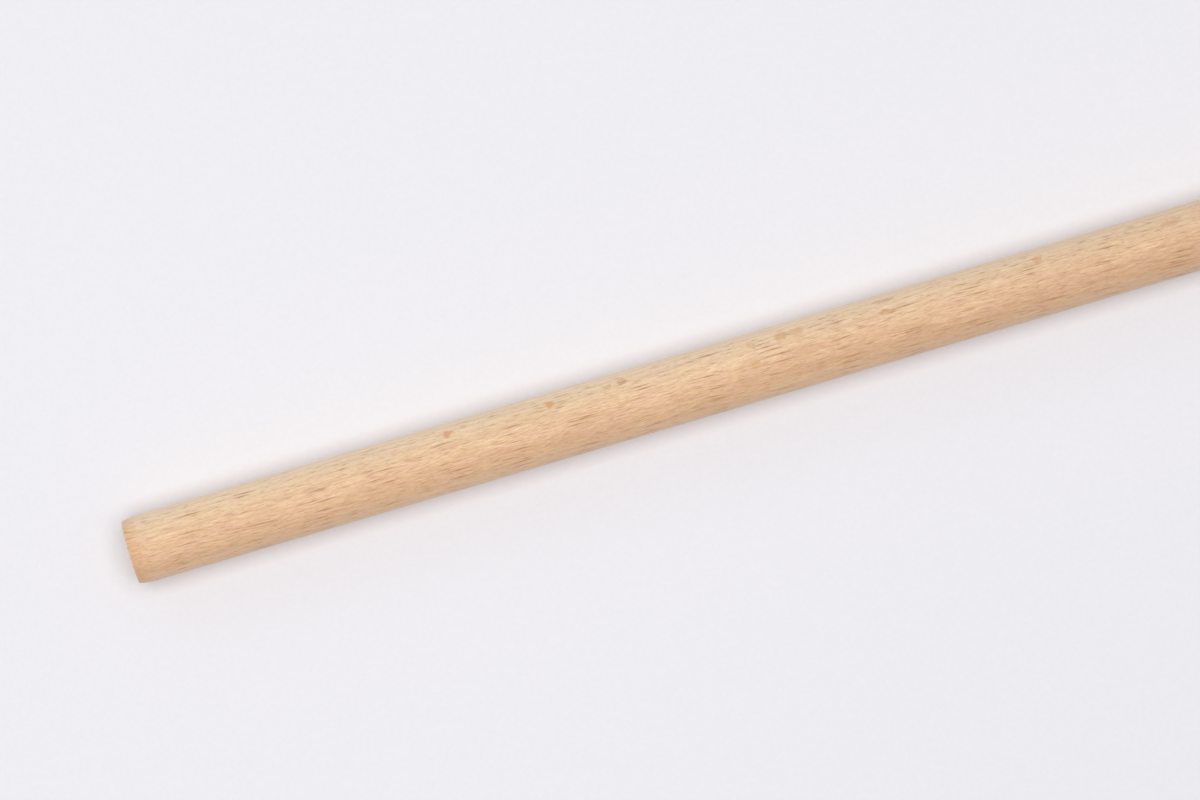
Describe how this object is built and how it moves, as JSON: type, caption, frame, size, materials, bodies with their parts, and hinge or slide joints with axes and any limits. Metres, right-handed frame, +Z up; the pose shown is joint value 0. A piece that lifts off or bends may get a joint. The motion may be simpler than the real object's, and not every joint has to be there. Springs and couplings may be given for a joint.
{
  "type": "roller extension pole",
  "caption": "Plain round beech extension pole for a paint roller, with an eased butt, a crimped steel ferrule and a cast tip that has a coarse male thread.",
  "frame": {"origin": "on the pole's axis, at the front face of the tip's collar, where a roller handle's socket seats", "axes": "+X along the pole's axis, out of the threaded end; +Z up with the pole lying flat; the cross rivet runs along Y"},
  "size_m": [1.2, 0.027, 0.024],
  "materials": {
    "beech": "matte",
    "plated_steel": "satin",
    "zinc_casting": "satin",
    "rivet_steel": "satin"
  },
  "bodies": {
    "root": {"pole_shaft": "beech", "end_ferrule": "plated_steel", "threaded_tip": "zinc_casting", "tip_rivet": "rivet_steel"}
  },
  "joints": []
}
